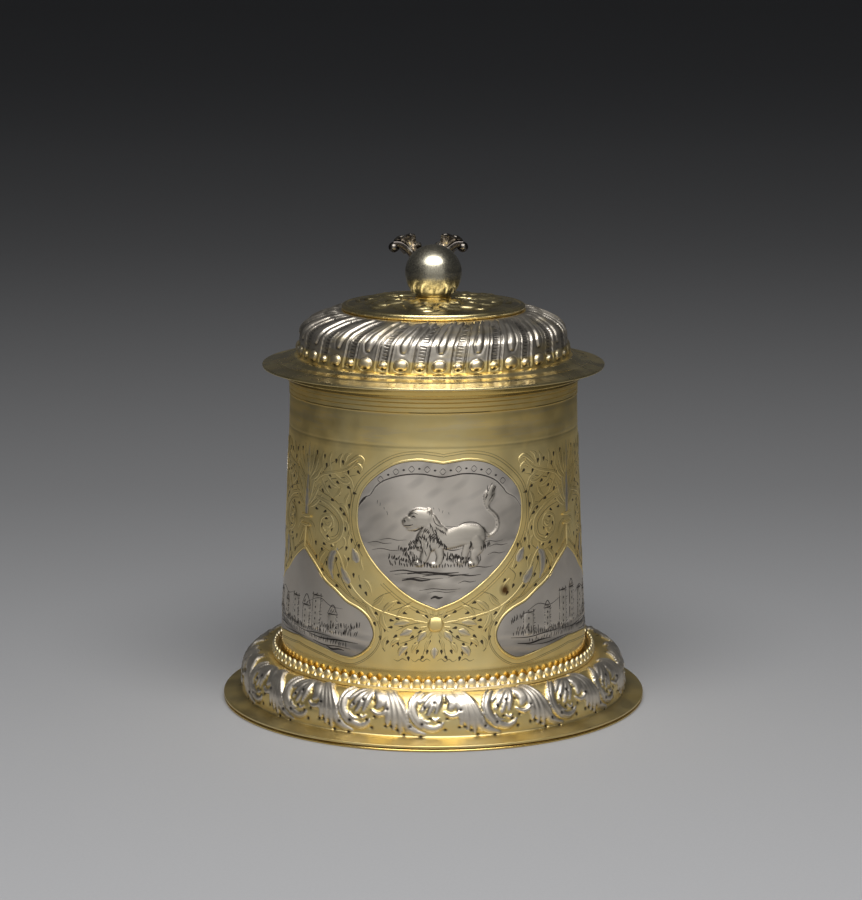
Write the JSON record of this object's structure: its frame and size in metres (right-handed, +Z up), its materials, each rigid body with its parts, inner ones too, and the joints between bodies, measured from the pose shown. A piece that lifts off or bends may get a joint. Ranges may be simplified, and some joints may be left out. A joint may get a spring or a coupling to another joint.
{
  "type": "tankard",
  "caption": "Parcel-gilt silver tankard with a tapered engraved drum, an embossed skirt foot, a scroll handle and a hinged gadrooned lid with a ball finial.",
  "frame": {"origin": "centre of the bounding box, on the plane that the foot rests on", "axes": "+Z up, +Y towards the handle and the hinge, +X to the right of someone who faces the side opposite the handle"},
  "size_m": [0.176, 0.199, 0.189],
  "materials": {
    "silver": "worn polished silver with dark engraving",
    "silver_plain": "plain silver with fine scratches",
    "gilt": "worn fire-gilt silver"
  },
  "bodies": {
    "vessel": {"foot_edge_wire": "gilt", "foot_skirt": "silver", "gallery_ring": "gilt", "drum_wall": "gilt", "drum_base": "silver_plain", "lip_moulding": "gilt", "handle_outer_strap": "silver", "handle_inner_strap": "silver_plain", "handle_rib": "gilt", "handle_upper_plate": "silver_plain", "handle_lower_pad": "silver_plain", "handle_shield": "silver", "handle_hinge_leaf": "silver_plain", "handle_knuckle_left": "silver_plain", "handle_knuckle_middle": "silver_plain", "handle_knuckle_right": "silver_plain", "hinge_pin": "silver_plain", "hinge_cap_left": "silver_plain", "hinge_cap_right": "silver_plain"},
    "lid": {"lid_shell": "silver", "lid_bezel": "gilt", "lid_plateau": "gilt", "finial_collar": "gilt", "finial_ball": "silver", "finial_pin": "silver_plain", "finial_nut": "silver_plain", "lid_hinge_leaf": "silver_plain", "lid_knuckle_left": "silver_plain", "lid_knuckle_right": "silver_plain", "thumbpiece": "silver"}
  },
  "joints": [
    {"name": "lid_hinge", "type": "hinge", "parent": "vessel", "child": "lid", "pos_m": [0, 0.0628, 0.141], "axis": [-1, 0, 0], "range_deg": [0, 95]}
  ]
}
